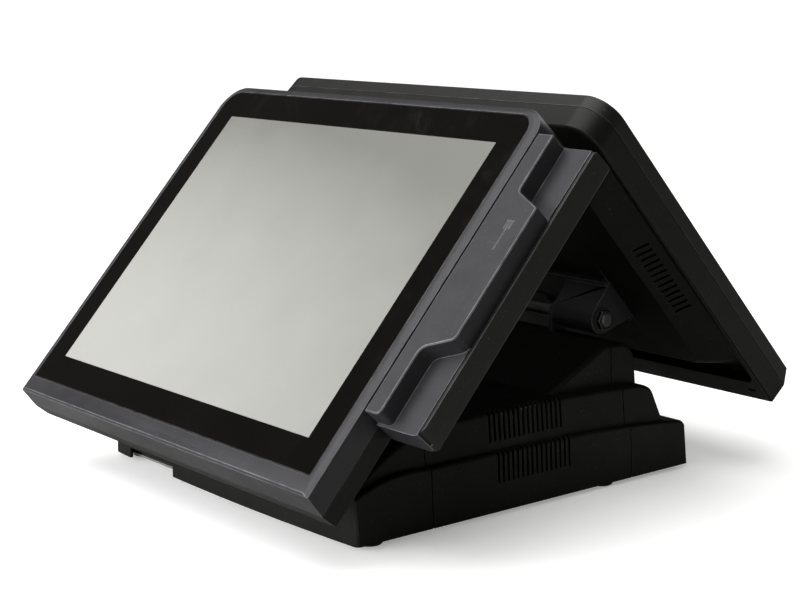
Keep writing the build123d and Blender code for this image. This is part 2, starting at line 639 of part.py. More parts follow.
with BuildPart() as reader_outer_housing:
    reader_box((LIP_X0, LIP_X1), (READER_LOW, READER_HIGH), (SHELF_D - 0.6, READER_BACK))
    reader_box((READER_X0, LIP_X1), (READER_LOW, READER_HIGH), (SLAB_BACK + 0.1, READER_BACK))
    reader_box((WIDE_X + 0.1, LIP_X1), (READER_LOW, READER_HIGH), (SHELF_D + 13, READER_BACK))
    bottom_edges = reader_outer_housing.faces().sort_by(Axis(FRONT.origin, FRONT.z_dir))[0].edges()
    chamfer(bottom_edges.sort_by(Axis.X)[1:], 2.2)
    ends = [
        edge
        for edge in reader_outer_housing.edges().filter_by(Axis.X)
        if 1 < edge.length < 4 and abs(FRONT.to_local_coords(edge.center()).Z + SHELF_D - 0.6) < 0.2
    ]
    fillet(ends, 3.0)
    reader_corner()
save(reader_outer_housing, "reader_outer_housing")

with BuildPart() as magnetic_head:
    reader_box((WIDE_X - 9, WIDE_X + 0.5), (HEAD_S - 5, HEAD_S + 5), (HEAD_D - 3.4, HEAD_D + 3.4))
    nose = magnetic_head.faces().sort_by(Axis.X)[-1]
    chamfer(nose.edges(), 0.45)
save(magnetic_head, "magnetic_head")

with BuildPart() as head_spring:
    reader_box((WIDE_X - 11.2, WIDE_X - 10.8), (HEAD_S - 22, HEAD_S + 22), (HEAD_D - 2.5, HEAD_D + 2.5))
save(head_spring, "head_spring")

with BuildPart() as reader_board:
    reader_box((190, 207), (96, 178), (26, 27.6))
    reader_box((193, 202), (120, 129), (24.6, 26))
    reader_box((193, 203), (150, 154), (22.6, 26))
save(reader_board, "reader_board")

with BuildPart() as reader_bracket:
    reader_box((153.5, 212), (58, 76), (READER_BACK, READER_BACK + 2))
    reader_box((153.5, 212), (190, 208), (READER_BACK, READER_BACK + 2))
    reader_box((186, 212), (70, 200), (READER_BACK, READER_BACK + 2))
save(reader_bracket, "reader_bracket")

with BuildPart() as reader_screws:
    for x in (160, 204):
        for height in (67, 199):
            with BuildSketch(behind(FRONT, READER_BACK + 2)):
                with Locations((x, height)):
                    Circle(3.0)
            extrude(amount=-1.6)
save(reader_screws, "reader_screws")

# ---------------------------------------------------------------- inside the base
BOARD_Z = 12.0
with BuildPart() as mainboard:
    block((-56, 56), (-34, 112), (BOARD_Z, BOARD_Z + 1.6))
    with Locations(*[(x, y, BOARD_Z + 0.8) for x in (-51, 51) for y in (-29, 107)]):
        Cylinder(1.7, 4, mode=Mode.SUBTRACT)
save(mainboard, "mainboard")

with BuildPart() as board_standoffs:
    with Locations(*[(x, y, (PLATE_T + 3 + BOARD_Z) / 2) for x in (-51, 51) for y in (-29, 107)]):
        Cylinder(2.8, BOARD_Z - PLATE_T - 3)
save(board_standoffs, "board_standoffs")

with BuildPart() as processor:
    block((-16, 16), (24, 56), (BOARD_Z + 1.6, BOARD_Z + 4.6))
save(processor, "processor")

with BuildPart() as heat_sink:
    block((-32, 32), (2, 78), (BOARD_Z + 4.6, BOARD_Z + 8.6))
    for fin in range(13):
        x = -32 + 5.2 * fin
        block((x, x + 1.6), (2, 78), (BOARD_Z + 8.6, BOARD_Z + 34))
save(heat_sink, "heat_sink")

with BuildPart() as memory_module:
    block((-50, 18), (-28, -24.4), (BOARD_Z + 1.6, BOARD_Z + 31.6))
save(memory_module, "memory_module")

with BuildPart() as solid_state_drive:
    block((70, 139.8), (-10, 90), (PLATE_T, PLATE_T + 7))
    fillet(solid_state_drive.edges().filter_by(Axis.Z), 3)
save(solid_state_drive, "solid_state_drive")

with BuildPart() as power_supply:
    block((-140, -70), (-40, 96), (PLATE_T, PLATE_T + 32))
    fillet(power_supply.edges().filter_by(Axis.Z), 3)
save(power_supply, "power_supply")

with BuildPart() as loudspeaker:
    with BuildSketch(Plane.XY.offset(PLATE_T)):
        with Locations((100, -88)):
            Circle(20)
    extrude(amount=4)
    with BuildSketch(Plane.XY.offset(PLATE_T + 4)):
        with Locations((100, -88)):
            Circle(20)
    extrude(amount=8, taper=45)
    with BuildSketch(Plane.XY.offset(PLATE_T + 12)):
        with Locations((100, -88)):
            Circle(11)
    extrude(amount=7)
save(loudspeaker, "loudspeaker")

PORTS = [((-52, -39), 16), ((-36, -20), 14), ((-16, -1), 12), ((4, 34), 10)]
with BuildPart() as io_connectors:
    for (x0, x1), tall in PORTS:
        block((x0, x1), (100, 118), (BOARD_Z + 1.6, BOARD_Z + 1.6 + tall))
        block((x0 + 2, x1 - 2), (108, 119), (BOARD_Z + 4, BOARD_Z - 1 + tall), Mode.SUBTRACT)
save(io_connectors, "io_connectors")

with BuildPart() as power_inlet:
    block((38, 52), (98, 118), (BOARD_Z + 1.6, BOARD_Z + 13))
    with BuildSketch(Plane(origin=(45, 118, BOARD_Z + 7.3), x_dir=(-1, 0, 0), z_dir=(0, 1, 0))):
        Circle(3.6)
    extrude(amount=-14, mode=Mode.SUBTRACT)
save(power_inlet, "power_inlet")

BUTTON_FLANGE_X, BUTTON_END_X = BUTTON_FACE_X + 5.0, BUTTON_FACE_X + 6.4
SWITCH_FACE_X = BUTTON_END_X + BUTTON_TRAVEL + 0.1
with BuildPart() as power_button:
    rod(BUTTON_FACE_X, BUTTON_FLANGE_X, BUTTON_Y, BUTTON_Z, BUTTON_R)
    rod(BUTTON_FLANGE_X, BUTTON_END_X, BUTTON_Y, BUTTON_Z, BUTTON_R + 1.6)
    chamfer(power_button.faces().sort_by(Axis.X)[0].edges(), 0.5)
save(power_button, "power_button")

with BuildPart() as power_switch:
    block((SWITCH_FACE_X, -134), (BUTTON_Y - 5, BUTTON_Y + 5), (PLATE_T, BUTTON_Z + 5))
save(power_switch, "power_switch")
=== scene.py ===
"""The looks of a checkout terminal with displays back to back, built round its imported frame."""

import logging
from dataclasses import dataclass, field
from enum import Enum
from math import cos, pi, radians, sin
from typing import Callable, Iterable, Sequence

import bmesh
import bpy
from mathutils import Matrix, Vector


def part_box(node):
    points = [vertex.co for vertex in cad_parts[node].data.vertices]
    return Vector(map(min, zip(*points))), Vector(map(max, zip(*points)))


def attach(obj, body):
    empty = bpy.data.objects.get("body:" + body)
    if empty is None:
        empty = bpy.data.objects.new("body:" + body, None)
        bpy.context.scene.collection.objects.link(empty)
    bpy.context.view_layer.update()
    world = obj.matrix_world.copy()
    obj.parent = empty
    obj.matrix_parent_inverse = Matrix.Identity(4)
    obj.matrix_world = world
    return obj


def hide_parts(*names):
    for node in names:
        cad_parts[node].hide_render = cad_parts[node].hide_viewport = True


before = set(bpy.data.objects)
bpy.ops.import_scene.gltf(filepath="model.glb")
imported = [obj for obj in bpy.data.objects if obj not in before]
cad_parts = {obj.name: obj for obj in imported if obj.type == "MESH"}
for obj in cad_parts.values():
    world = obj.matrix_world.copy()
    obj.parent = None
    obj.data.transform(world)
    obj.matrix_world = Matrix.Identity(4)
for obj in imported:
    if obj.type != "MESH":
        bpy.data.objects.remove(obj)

LOG = logging.getLogger("terminal")
MM = 0.001
EDGE_BAND = "edge_band"  # face-corner attribute: 1 on the broken edges of a piece, 0 elsewhere
MERGE_M = 2e-6  # points of a CAD mesh closer than this are one
FLAT_DEGREES = 0.3  # faces that meet at less than this are one
FLIP = Matrix.Rotation(pi, 4, "X")  # turns a screw so that its head faces the other way

# the numbers of a colour mix node's sockets
MIX_FACTOR, MIX_FIRST, MIX_SECOND, MIX_RESULT = 0, 6, 7, 2

Colour = tuple[float, float, float]
DUST = (0.42, 0.40, 0.37)
DUST_ON_GLASS = (0.35, 0.34, 0.32)
GROUND_GLASS = (0.09, 0.1, 0.095)
SOLDER = (0.62, 0.6, 0.52)


class Body(Enum):
    """The bodies of the frame."""

    BASE = "base"
    OPERATOR = "operator_display"
    CUSTOMER = "customer_display"
    BUTTON = "power_button"
    HEAD = "magnetic_head"


# ---------------------------------------------------------------------------- places on the object
@dataclass(frozen=True)
class DisplayPlace:
    """Where a display stands at rest: its tilt from upright, the foot of its face and the way it looks.

    Local measures are x across, s up the glass and out, away from the glass, all in millimetres.
    """

    tilt: float
    foot_y: float
    foot_z: float
    facing: int

    def matrix(self) -> Matrix:
        """The transform from local millimetres to the frame in metres."""
        angle = radians(self.tilt)
        normal = Vector((0, self.facing * cos(angle), sin(angle)))
        across = Vector((-self.facing, 0, 0))
        up = normal.cross(across)
        turn = Matrix((across, up, normal)).transposed().to_4x4()
        return Matrix.Translation((0, self.foot_y * MM, self.foot_z * MM)) @ turn @ Matrix.Scale(MM, 4)

    def point(self, x: float, s: float, out: float) -> Vector:
        """A local point in the frame.

        Args:
            x: Millimetres across the display.
            s: Millimetres up the glass.
            out: Millimetres out of the glass, negative behind it.

        Returns:
            The point in metres.
        """
        return self.matrix() @ Vector((x, s, out))

    def axis(self, direction: Sequence[float]) -> Vector:
        """A local direction as a unit vector in the frame."""
        return (self.matrix().to_3x3() @ Vector(direction)).normalized()


OPERATOR = DisplayPlace(41.7, -163.6, 79.4, -1)
CUSTOMER = DisplayPlace(43.3, 261.0, 69.6, 1)
ACTIVE_HALF_W, ACTIVE_H = 152.05, 228.1


# ---------------------------------------------------------------------------- shader helpers
class Sheet:
    """Adds and joins the nodes of one shader tree."""

    def __init__(self, tree: bpy.types.NodeTree) -> None:
        """Starts on an empty or new tree."""
        self.tree = tree

    def add(self, kind: str, **inputs: object) -> bpy.types.Node:
        """Adds a node and sets or joins its inputs.

        Args:
            kind: The node's type, without the ShaderNode prefix.
            **inputs: Input names, with underscores for spaces, and a value or an output socket for each.

        Returns:
            The new node.
        """
        node = self.tree.nodes.new("ShaderNode" + kind)
        for name, value in inputs.items():
            self.put(node, name.replace("_", " "), value)
        return node

    def put(self, node: bpy.types.Node, name: str, value: object) -> None:
        """Sets one input of a node, or joins an output socket to it."""
        socket = node.inputs[name]
        if isinstance(value, bpy.types.NodeSocket):
            self.tree.links.new(value, socket)
        elif isinstance(value, tuple) and len(value) == 3 and socket.type == "RGBA":
            socket.default_value = (*value, 1.0)
        else:
            socket.default_value = value

    def math(
        self, operation: str, a: object, b: object = 0.0, clamp: bool = False
    ) -> bpy.types.NodeSocket:
        """The result of one sum of two values.

        Args:
            operation: The sum's name, as the Math node has it.
            a: The first value or socket.
            b: The second value or socket.
            clamp: Holds the result between 0 and 1.

        Returns:
            The result's socket.
        """
        node = self.tree.nodes.new("ShaderNodeMath")
        node.operation, node.use_clamp = operation, clamp
        for socket, value in zip(node.inputs, (a, b)):
            if isinstance(value, bpy.types.NodeSocket):
                self.tree.links.new(value, socket)
            else:
                socket.default_value = value
        return node.outputs[0]

    def span(
        self, value: object, low: float, high: float, to_low: float, to_high: float
    ) -> bpy.types.NodeSocket:
        """A value moved from one range to another, and held inside it.

        Args:
            value: The value or socket.
            low: The low end of its own range.
            high: The high end of its own range.
            to_low: What low becomes.
            to_high: What high becomes.

        Returns:
            The result's socket.
        """
        node = self.add("MapRange", Value=value, From_Min=low, From_Max=high, To_Min=to_low, To_Max=to_high)
        return node.outputs["Result"]

    def blend(self, amount: object, first: object, second: object) -> bpy.types.NodeSocket:
        """A mix of two colours.

        Args:
            amount: The share of the second colour, as a number or a socket.
            first: The first colour or its socket.
            second: The second colour or its socket.

        Returns:
            The mix's socket.
        """
        node = self.tree.nodes.new("ShaderNodeMix")
        node.data_type = "RGBA"
        for index, value in ((MIX_FACTOR, amount), (MIX_FIRST, first), (MIX_SECOND, second)):
            if isinstance(value, bpy.types.NodeSocket):
                self.tree.links.new(value, node.inputs[index])
            elif index == MIX_FACTOR:
                node.inputs[index].default_value = value
            else:
                node.inputs[index].default_value = (*value, 1.0)
        return node.outputs[MIX_RESULT]


GroupMaker = Callable[[Sheet, bpy.types.Node, bpy.types.Node], None]


class Effects:
    """The shared surface effects, each a node group that is built once."""

    made: dict[str, bpy.types.NodeTree] = {}

    @classmethod
    def group(
        cls, name: str, inputs: dict[str, str], outputs: dict[str, str], fill: GroupMaker
    ) -> bpy.types.NodeTree:
        """A node group with named sockets.

        Args:
            name: The group's name.
            inputs: Input names and their kinds, Float or Color.
            outputs: Output names and their kinds.
            fill: Adds the nodes between the group's input and output nodes.

        Returns:
            The group, made the first time that it is asked for.
        """
        if name in cls.made:
            return cls.made[name]
        tree = bpy.data.node_groups.new(name, "ShaderNodeTree")
        for way, sockets in (("INPUT", inputs), ("OUTPUT", outputs)):
            for label, kind in sockets.items():
                tree.interface.new_socket(label, in_out=way, socket_type="NodeSocket" + kind)
        entry, leave = tree.nodes.new("NodeGroupInput"), tree.nodes.new("NodeGroupOutput")
        fill(Sheet(tree), entry, leave)
        cls.made[name] = tree
        return tree

    @classmethod
    def place(cls, sheet: Sheet, tree: bpy.types.NodeTree, **values: object) -> bpy.types.Node:
        """Puts a group into a material.

        Args:
            sheet: The material's nodes.
            tree: The group.
            **values: The group's inputs, as for Sheet.add.

        Returns:
            The group's node.
        """
        node = sheet.tree.nodes.new("ShaderNodeGroup")
        node.node_tree = tree
        for name, value in values.items():
            sheet.put(node, name.replace("_", " "), value)
        return node

    @classmethod
    def grain(cls) -> bpy.types.NodeTree:
        """Moulded grain: fine pits in Height, and slow drifts in Tone and Patch, all from 0 to 1."""

        def fill(sheet: Sheet, entry: bpy.types.Node, leave: bpy.types.Node) -> None:
            where = sheet.add("TexCoord").outputs["Object"]
            pits = sheet.add("TexVoronoi", Vector=where, Scale=entry.outputs["Scale"], Randomness=1.0)
            fine, slow = entry.outputs["Scale"], entry.outputs["Drift"]
            fuzz = sheet.add("TexNoise", Vector=where, Scale=fine, Detail=3.0, Roughness=0.6)
            tone = sheet.add("TexNoise", Vector=where, Scale=slow, Detail=5.0, Roughness=0.62)
            patch = sheet.add("TexNoise", Vector=where, Scale=9.0, Detail=3.0, Roughness=0.5, Distortion=0.6)
            pitted = sheet.math("MULTIPLY", pits.outputs["Distance"], 0.6)
            sheet.put(leave, "Height", sheet.math("ADD", pitted, fuzz.outputs["Fac"]))
            sheet.put(leave, "Tone", sheet.span(tone.outputs["Fac"], 0.3, 0.7, 0.0, 1.0))
            sheet.put(leave, "Patch", sheet.span(patch.outputs["Fac"], 0.35, 0.65, 0.0, 1.0))

        return cls.group(
            "moulded_grain", {"Scale": "Float", "Drift": "Float"},
            {"Height": "Float", "Tone": "Float", "Patch": "Float"}, fill,
        )

    @classmethod
    def wear(cls) -> bpy.types.NodeTree:
        """Broken edges rubbed paler: a colour and the mask that made it."""

        def fill(sheet: Sheet, entry: bpy.types.Node, leave: bpy.types.Node) -> None:
            where = sheet.add("TexCoord").outputs["Object"]
            rub = sheet.add("TexNoise", Vector=where, Scale=95.0, Detail=5.0, Roughness=0.65)
            ragged = sheet.span(rub.outputs["Fac"], 0.34, 0.62, 0.25, 1.0)
            rubbed = sheet.math("MULTIPLY", ragged, entry.outputs["Band"])
            mask = sheet.math("MULTIPLY", rubbed, entry.outputs["Amount"])
            sheet.put(leave, "Color", sheet.blend(mask, entry.outputs["Base"], entry.outputs["Worn"]))
            sheet.put(leave, "Mask", mask)

        return cls.group(
            "edge_wear", {"Base": "Color", "Worn": "Color", "Band": "Float", "Amount": "Float"},
            {"Color": "Color", "Mask": "Float"}, fill,
        )

    @classmethod
    def handling(cls) -> bpy.types.NodeTree:
        """Traces of use: dust specks, soft smears and hair scratches, as masks from 0 to 1."""

        def fill(sheet: Sheet, entry: bpy.types.Node, leave: bpy.types.Node) -> None:
            where = sheet.add("TexCoord").outputs["Object"]
            dust = sheet.add("TexNoise", Vector=where, Scale=620.0, Detail=2.0, Roughness=0.5)
            smear = sheet.add("TexNoise", Vector=where, Scale=14.0, Detail=6.0, Roughness=0.7, Distortion=1.4)
            turned = sheet.add("Mapping", Vector=where, Rotation=(0.3, 0.5, 0.7), Scale=(26.0, 900.0, 26.0))
            hairs = sheet.add("TexNoise", Vector=turned.outputs["Vector"], Scale=1.0, Detail=1.0)
            sheet.put(leave, "Dust", sheet.span(dust.outputs["Fac"], 0.68, 0.76, 0.0, 1.0))
            sheet.put(leave, "Smear", sheet.span(smear.outputs["Fac"], 0.45, 0.72, 0.0, 1.0))
            sheet.put(leave, "Hairs", sheet.span(hairs.outputs["Fac"], 0.70, 0.78, 0.0, 1.0))

        return cls.group("handling_marks", {}, {"Dust": "Float", "Smear": "Float", "Hairs": "Float"}, fill)


def new_material(name: str) -> tuple[bpy.types.Material, Sheet, bpy.types.Node]:
    """An empty material.

    Args:
        name: The material's name.

    Returns:
        The material, its sheet of nodes and its Principled shader, joined to the output.
    """
    material = bpy.data.materials.new(name)
    material.use_nodes = True
    material.node_tree.nodes.clear()
    sheet = Sheet(material.node_tree)
    shader = sheet.add("BsdfPrincipled")
    output = sheet.add("OutputMaterial")
    sheet.put(output, "Surface", shader.outputs["BSDF"])
    return material, sheet, shader


def edge_band(sheet: Sheet) -> bpy.types.NodeSocket:
    """The piece's own mask of broken edges."""
    node = sheet.add("Attribute")
    node.attribute_name = EDGE_BAND
    return node.outputs["Fac"]


# ---------------------------------------------------------------------------- finishes
@dataclass(frozen=True)
class MouldedPlastic:
    """Moulded plastic with a spark-eroded grain, paler rubbed edges, a little dust and soft smears.

    grain is the pits' frequency and depth their depth in metres, spread is how far smears and slow
    patches move the roughness, polish is how much smoother the rubbed edges are, and level is the
    shader's specular level.
    """

    name: str
    colour: Colour
    drift: Colour
    worn: Colour
    roughness: float = 0.42
    spread: float = 0.1
    grain: float = 2600.0
    depth: float = 0.00005
    wear: float = 0.8
    dust: float = 0.12
    level: float = 0.4
    polish: float = 0.12

    def build(self) -> bpy.types.Material:
        """Makes the material."""
        material, sheet, shader = new_material(self.name)
        grain = Effects.place(sheet, Effects.grain(), Scale=self.grain, Drift=70.0)
        marks = Effects.place(sheet, Effects.handling())
        tone = sheet.blend(grain.outputs["Tone"], self.colour, self.drift)
        dusty = sheet.blend(sheet.math("MULTIPLY", marks.outputs["Dust"], self.dust), tone, DUST)
        wear = Effects.place(
            sheet, Effects.wear(), Base=dusty, Worn=self.worn, Band=edge_band(sheet), Amount=self.wear
        )
        sheet.put(shader, "Base Color", wear.outputs["Color"])
        patchy = sheet.math("MULTIPLY", grain.outputs["Patch"], self.spread)
        smeared = sheet.math("MULTIPLY", marks.outputs["Smear"], self.spread)
        rough = sheet.math("ADD", sheet.math("SUBTRACT", self.roughness, smeared), patchy)
        smoother = sheet.math("MULTIPLY", wear.outputs["Mask"], self.polish)
        sheet.put(shader, "Roughness", sheet.math("SUBTRACT", rough, smoother, clamp=True))
        shader.inputs["Specular IOR Level"].default_value = self.level
        bump = sheet.add("Bump", Height=grain.outputs["Height"], Distance=self.depth, Strength=0.6)
        sheet.put(shader, "Normal", bump.outputs["Normal"])
        return material


@dataclass(frozen=True)
class CoverGlass:
    """Glass printed black from behind: deep, glossy, with finger smears and fine hair scratches.

    low and high are the roughness of clean and of smeared glass.
    """

    name: str
    colour: Colour
    low: float = 0.04
    high: float = 0.2
    dust: float = 0.007
    wear: float = 0.7
    uneven: float = 1.5

    def build(self) -> bpy.types.Material:
        """Makes the material."""
        material, sheet, shader = new_material(self.name)
        marks = Effects.place(sheet, Effects.handling())
        grain = Effects.place(sheet, Effects.grain(), Scale=900.0, Drift=16.0)
        dust = sheet.math("MULTIPLY", marks.outputs["Dust"], self.dust)
        paler = tuple(self.uneven * part for part in self.colour)
        ink = sheet.blend(grain.outputs["Tone"], self.colour, paler)
        specked = sheet.blend(dust, ink, DUST_ON_GLASS)
        wear = Effects.place(
            sheet, Effects.wear(), Base=specked, Worn=GROUND_GLASS, Band=edge_band(sheet), Amount=self.wear
        )
        sheet.put(shader, "Base Color", wear.outputs["Color"])
        smeared = sheet.math("MULTIPLY", marks.outputs["Smear"], self.high - self.low)
        sheet.put(shader, "Roughness", sheet.math("ADD", smeared, self.low))
        bump = sheet.add("Bump", Height=marks.outputs["Hairs"], Distance=0.000004, Strength=0.35)
        sheet.put(shader, "Normal", bump.outputs["Normal"])
        return material


@dataclass(frozen=True)
class ScreenFilm:
    """The unlit picture area seen through its film: a warm grey with a fine sparkle and slow clouds.

    place gives the display, so that a painted shade can darken the picture from its foot to its head.
    The head and side powers and shares say how that painted shade gathers towards the picture's head
    and its +X side. clouds, sparkle and smears are the strengths of the small marks.
    """

    name: str
    place: DisplayPlace
    # the lit tone, then the painted shade that the picture darkens to where less light falls
    light: Colour
    shaded: Colour
    # how the painted shade gathers towards the picture's head and its +X side
    shade_head_power: float = 2.2
    shade_head_share: float = 0.85
    shade_side_power: float = 1.6
    shade_side_share: float = 0.42
    clouds: float = 0.07
    sparkle: float = 0.05
    smears: float = 0.1
    roughness: float = 0.32

    def build(self) -> bpy.types.Material:
        """Makes the material."""
        material, sheet, shader = new_material(self.name)
        where = sheet.add("TexCoord").outputs["Object"]
        split = sheet.add("SeparateXYZ", Vector=where)
        # painted shade: the colour darkens up the picture and towards its +X side, standing in for light that
        # falls off
        foot, head = self.place.point(0, 0, 0).z, self.place.point(0, ACTIVE_H, 0).z
        rise = sheet.span(split.outputs["Z"], foot, head, 0.0, 1.0)
        side = sheet.span(split.outputs["X"], -ACTIVE_HALF_W * MM, ACTIVE_HALF_W * MM, 0.0, 1.0)
        shade_up = sheet.math("POWER", rise, self.shade_head_power)
        shade_across = sheet.math("MULTIPLY", sheet.math("POWER", side, self.shade_side_power), self.shade_side_share)
        painted_shade = sheet.math("ADD", sheet.math("MULTIPLY", shade_up, self.shade_head_share), shade_across, clamp=True)
        grain = Effects.place(sheet, Effects.grain(), Scale=3400.0, Drift=20.0)
        cloud = sheet.math("MULTIPLY", grain.outputs["Tone"], self.clouds)
        sparkle = sheet.math("MULTIPLY", grain.outputs["Height"], self.sparkle)
        shade_and_grain = sheet.math("ADD", sheet.math("ADD", painted_shade, cloud), sparkle, clamp=True)
        # painted shade: the mix runs from the lit tone to the shaded one, with random clouds and sparkle added
        sheet.put(shader, "Base Color", sheet.blend(shade_and_grain, self.light, self.shaded))
        marks = Effects.place(sheet, Effects.handling())
        smeared = sheet.math("MULTIPLY", marks.outputs["Smear"], self.smears)
        sheet.put(shader, "Roughness", sheet.math("ADD", smeared, self.roughness))
        bump = sheet.add("Bump", Height=grain.outputs["Height"], Distance=0.00001, Strength=0.3)
        sheet.put(shader, "Normal", bump.outputs["Normal"])
        return material


@dataclass(frozen=True)
class Metal:
    """Plated, ground or coated metal, with brush lines, slow tarnish and brighter edges.

    brushed is the strength of the lines along X, patches is how far the slow patches move the
    roughness, and wear is how far the edges are rubbed.
    """

    name: str
    colour: Colour
    dull: Colour
    worn: Colour
    metallic: float = 1.0
    roughness: float = 0.34
    brushed: float = 0.25
    grain: float = 1500.0
    patches: float = 0.12
    wear: float = 0.9

    def build(self) -> bpy.types.Material:
        """Makes the material."""
        material, sheet, shader = new_material(self.name)
        where = sheet.add("TexCoord").outputs["Object"]
        drawn = sheet.add("Mapping", Vector=where, Scale=(40.0, 2400.0, 2400.0))
        lines = sheet.add("TexNoise", Vector=drawn.outputs["Vector"], Scale=1.0, Detail=2.0)
        grain = Effects.place(sheet, Effects.grain(), Scale=self.grain, Drift=45.0)
        tone = sheet.blend(grain.outputs["Tone"], self.colour, self.dull)
        wear = Effects.place(
            sheet, Effects.wear(), Base=tone, Worn=self.worn, Band=edge_band(sheet), Amount=self.wear
        )
        sheet.put(shader, "Base Color", wear.outputs["Color"])
        shader.inputs["Metallic"].default_value = self.metallic
        streak = sheet.math("MULTIPLY", lines.outputs["Fac"], self.brushed)
        patchy = sheet.math("MULTIPLY", grain.outputs["Patch"], self.patches)
        rough = sheet.math("ADD", patchy, self.roughness)
        sheet.put(shader, "Roughness", sheet.math("ADD", rough, streak, clamp=True))
        relief = sheet.math("ADD", streak, grain.outputs["Height"])
        bump = sheet.add("Bump", Height=relief, Distance=0.00002, Strength=0.4)
        sheet.put(shader, "Normal", bump.outputs["Normal"])
        return material


@dataclass(frozen=True)
class CircuitBoard:
    """Solder mask over copper: tracks a shade lighter than the mask, and tinned points on a grid."""

    name: str
    mask: Colour
    track: Colour

    def build(self) -> bpy.types.Material:
        """Makes the material."""
        material, sheet, shader = new_material(self.name)
        where = sheet.add("TexCoord").outputs["Object"]
        cells = sheet.add("TexVoronoi", Vector=where, Scale=260.0, Randomness=0.35)
        cells.distance = "CHEBYCHEV"
        lanes = sheet.add("TexBrick", Vector=where, Scale=150.0, Mortar_Size=0.06)
        grain = Effects.place(sheet, Effects.grain(), Scale=1800.0, Drift=60.0)
        copper = sheet.math("SUBTRACT", 1.0, lanes.outputs["Fac"])
        tracks = sheet.math("MULTIPLY", copper, grain.outputs["Tone"])
        coloured = sheet.blend(tracks, self.mask, self.track)
        pads = sheet.span(cells.outputs["Distance"], 0.1, 0.13, 1.0, 0.0)
        tinned = sheet.blend(sheet.math("MULTIPLY", pads, 0.7), coloured, SOLDER)
        sheet.put(shader, "Base Color", tinned)
        sheet.put(shader, "Roughness", sheet.span(pads, 0.0, 1.0, 0.38, 0.24))
        relief = sheet.math("ADD", tracks, sheet.math("MULTIPLY", grain.outputs["Height"], 0.3))
        bump = sheet.add("Bump", Height=relief, Distance=0.00004, Strength=0.5)
        sheet.put(shader, "Normal", bump.outputs["Normal"])
        return material


@dataclass
class Palette:
    """Every finish of the terminal, by the name of its material slot or its use."""

    materials: dict[str, bpy.types.Material] = field(default_factory=dict)

    def __getitem__(self, name: str) -> bpy.types.Material:
        """The material of that name."""
        return self.materials[name]

    def build(self) -> "Palette":
        """Makes all the finishes."""
        black = (0.0052, 0.0051, 0.0044)
        finishes = [
            MouldedPlastic("housing_plastic", black, (0.0078, 0.0076, 0.0068), (0.03, 0.03, 0.027), level=0.22),
            MouldedPlastic(
                "bezel_plastic", (0.0165, 0.0158, 0.0186), (0.023, 0.022, 0.026), (0.14, 0.137, 0.145),
                roughness=0.38, grain=1900.0, level=0.42,
            ),
            MouldedPlastic(
                "frame_plastic", (0.0062, 0.0061, 0.0058), (0.0095, 0.0093, 0.0088), (0.09, 0.089, 0.086),
                roughness=0.36, grain=1900.0, level=0.3,
            ),
            MouldedPlastic(
                "textured_plastic", (0.0165, 0.0158, 0.0185), (0.024, 0.0228, 0.0265), (0.17, 0.165, 0.178),
                roughness=0.5, grain=1300.0, depth=0.00014, level=0.42,
            ),
            MouldedPlastic("chip", (0.012, 0.012, 0.013), (0.02, 0.02, 0.021), (0.06, 0.06, 0.06), grain=3600.0),
            MouldedPlastic(
                "foot_rubber", (0.012, 0.012, 0.012), (0.02, 0.019, 0.018), (0.04, 0.04, 0.038),
                roughness=0.78, grain=1500.0, depth=0.0001, dust=0.4,
            ),
            MouldedPlastic(
                "speaker_cone", (0.02, 0.02, 0.021), (0.035, 0.034, 0.033), (0.09, 0.09, 0.09),
                roughness=0.82, grain=1700.0, depth=0.0001,
            ),
            CoverGlass("display_glass", (0.0014, 0.0013, 0.0012)),
            # each film's first colour is its lit tone and its second colour its painted shade
            ScreenFilm("operator_film", OPERATOR, (0.345, 0.345, 0.325), (0.148, 0.148, 0.136)),
            ScreenFilm("customer_film", CUSTOMER, (0.42, 0.42, 0.398), (0.18, 0.18, 0.166)),
            Metal("steel_plate", (0.5, 0.5, 0.51), (0.36, 0.35, 0.33), (0.68, 0.68, 0.68)),
            Metal("hinge_steel", (0.012, 0.012, 0.013), (0.02, 0.02, 0.021), (0.11, 0.11, 0.115),
                  metallic=0.0, roughness=0.4, brushed=0.05, grain=1100.0),
            Metal("shaft_steel", (0.16, 0.16, 0.165), (0.1, 0.1, 0.1), (0.4, 0.4, 0.4), roughness=0.3),
            Metal("screw_steel", (0.018, 0.018, 0.019), (0.03, 0.03, 0.03), (0.3, 0.3, 0.3), roughness=0.32),
            Metal("heat_sink_alloy", (0.76, 0.77, 0.78), (0.62, 0.63, 0.65), (0.86, 0.86, 0.87), roughness=0.3),
            Metal("metal_case", (0.6, 0.6, 0.6), (0.47, 0.46, 0.45), (0.75, 0.75, 0.75), roughness=0.3),
            CircuitBoard("board", (0.006, 0.06, 0.03), (0.012, 0.11, 0.055)),
        ]
        for finish in finishes:
            self.materials[finish.name] = finish.build()
            LOG.info("finish %s", finish.name)
        return self


# ---------------------------------------------------------------------------- mesh helpers
def cad_solid(node: str) -> bmesh.types.BMesh:
    """A merged copy of a CAD node's mesh, its flat faces made whole."""
    bm = bmesh.new()
    bm.from_mesh(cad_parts[node].data)
    bmesh.ops.remove_doubles(bm, verts=bm.verts, dist=MERGE_M)
    bmesh.ops.dissolve_limit(bm, angle_limit=radians(FLAT_DEGREES), verts=bm.verts, edges=bm.edges)
    return bm


def break_edges(bm: bmesh.types.BMesh, width: float, sharper: float = 28.0, segments: int = 2) -> None:
    """Rounds every sharp edge and marks the new faces in the edge band.

    Args:
        bm: The mesh.
        width: The rounding's width in millimetres.
        sharper: The least angle of an edge that is rounded, in degrees.
        segments: The number of steps round the edge.
    """
    band = bm.loops.layers.float.get(EDGE_BAND) or bm.loops.layers.float.new(EDGE_BAND)
    sharp = [edge for edge in bm.edges if edge.is_manifold and edge.calc_face_angle(0.0) > radians(sharper)]
    rounded = bmesh.ops.bevel(
        bm, geom=sharp, offset=width * MM, offset_type="OFFSET", affect="EDGES", segments=segments,
        profile=0.5, material=-1, clamp_overlap=False,
    )
    for face in rounded["faces"]:
        for loop in face.loops:
            loop[band] = 1.0


